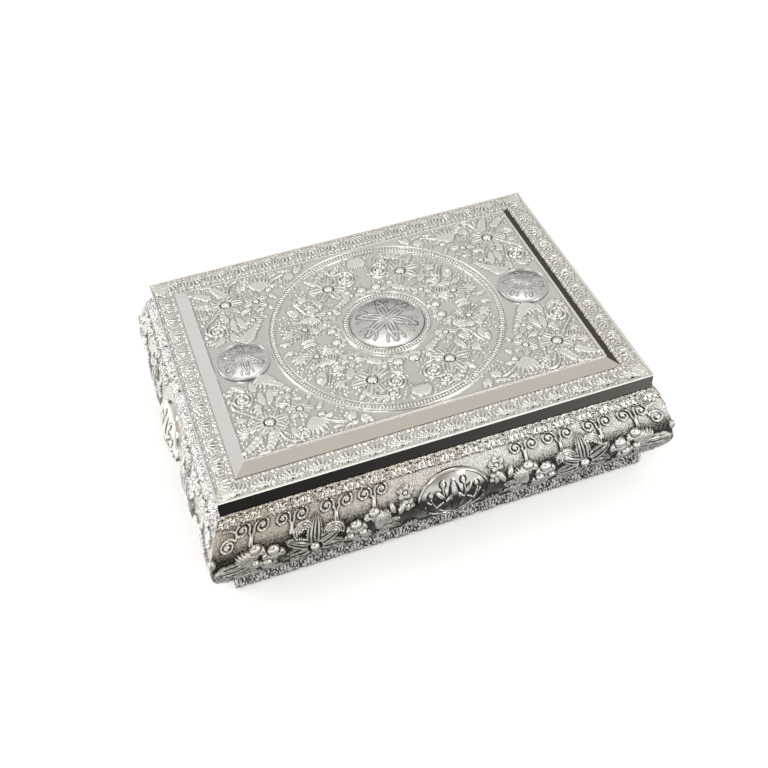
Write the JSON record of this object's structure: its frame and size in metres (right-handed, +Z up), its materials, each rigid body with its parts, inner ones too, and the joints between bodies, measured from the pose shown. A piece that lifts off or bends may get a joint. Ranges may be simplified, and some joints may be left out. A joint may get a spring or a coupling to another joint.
{
  "type": "quran box",
  "caption": "Hinged keepsake box that holds a book: a bellied, silver-clad wooden body with a leaf-bordered lid, a raised plaque and domed medallions.",
  "frame": {"origin": "on the floor under the middle of the box, at the felt's lower face", "axes": "+X to the right along the front, +Y from the front to the hinges at the back, +Z up"},
  "size_m": [0.2968, 0.2268, 0.0895],
  "materials": {
    "relief_silver": "silver plate over pressed sheet, dark in the hollows",
    "mirror_silver": "polished silver plate",
    "satin_silver": "satin silver plate",
    "brass": "plain",
    "steel": "plain",
    "wood": "sawn, unfinished",
    "velvet": "short pile over card",
    "felt": "felt"
  },
  "bodies": {
    "body": {"base_felt": "felt", "base_board": "wood", "wall_front": "wood", "wall_back": "wood", "wall_left": "wood", "wall_right": "wood", "cover_front": "relief_silver", "cover_back": "relief_silver", "cover_left": "relief_silver", "cover_right": "relief_silver", "frieze_front": "relief_silver", "frieze_back": "relief_silver", "frieze_left": "relief_silver", "frieze_right": "relief_silver", "plinth_front": "relief_silver", "plinth_back": "relief_silver", "plinth_left": "relief_silver", "plinth_right": "relief_silver", "cartouche_front": "mirror_silver", "cartouche_back": "mirror_silver", "cartouche_left": "mirror_silver", "cartouche_right": "mirror_silver", "lining_floor": "velvet", "lining_front": "velvet", "lining_back": "velvet", "lining_left": "velvet", "lining_right": "velvet", "hinge_base_leaf_left": "brass", "hinge_base_leaf_right": "brass", "hinge_base_screw_left_1": "brass", "hinge_base_screw_left_2": "brass", "hinge_base_screw_right_1": "brass", "hinge_base_screw_right_2": "brass", "hinge_pin_left": "steel", "hinge_pin_right": "steel"},
    "lid": {"hinge_lid_leaf_left": "brass", "hinge_lid_leaf_right": "brass", "hinge_lid_screw_left_1": "brass", "hinge_lid_screw_left_2": "brass", "hinge_lid_screw_right_1": "brass", "hinge_lid_screw_right_2": "brass", "lid_board": "wood", "lid_band_front": "mirror_silver", "lid_band_back": "mirror_silver", "lid_band_left": "mirror_silver", "lid_band_right": "mirror_silver", "lid_border": "relief_silver", "lid_bevel": "mirror_silver", "lid_plaque": "satin_silver", "plaque_ring": "satin_silver", "centre_ring": "satin_silver", "centre_medallion": "mirror_silver", "side_medallion_left": "mirror_silver", "side_medallion_right": "mirror_silver", "lid_pad": "velvet"}
  },
  "joints": [
    {"name": "lid_hinge", "type": "hinge", "parent": "body", "child": "lid", "pos_m": [0, 0.0999, 0.07], "axis": [-1, 0, 0], "range_deg": [0, 100]}
  ]
}
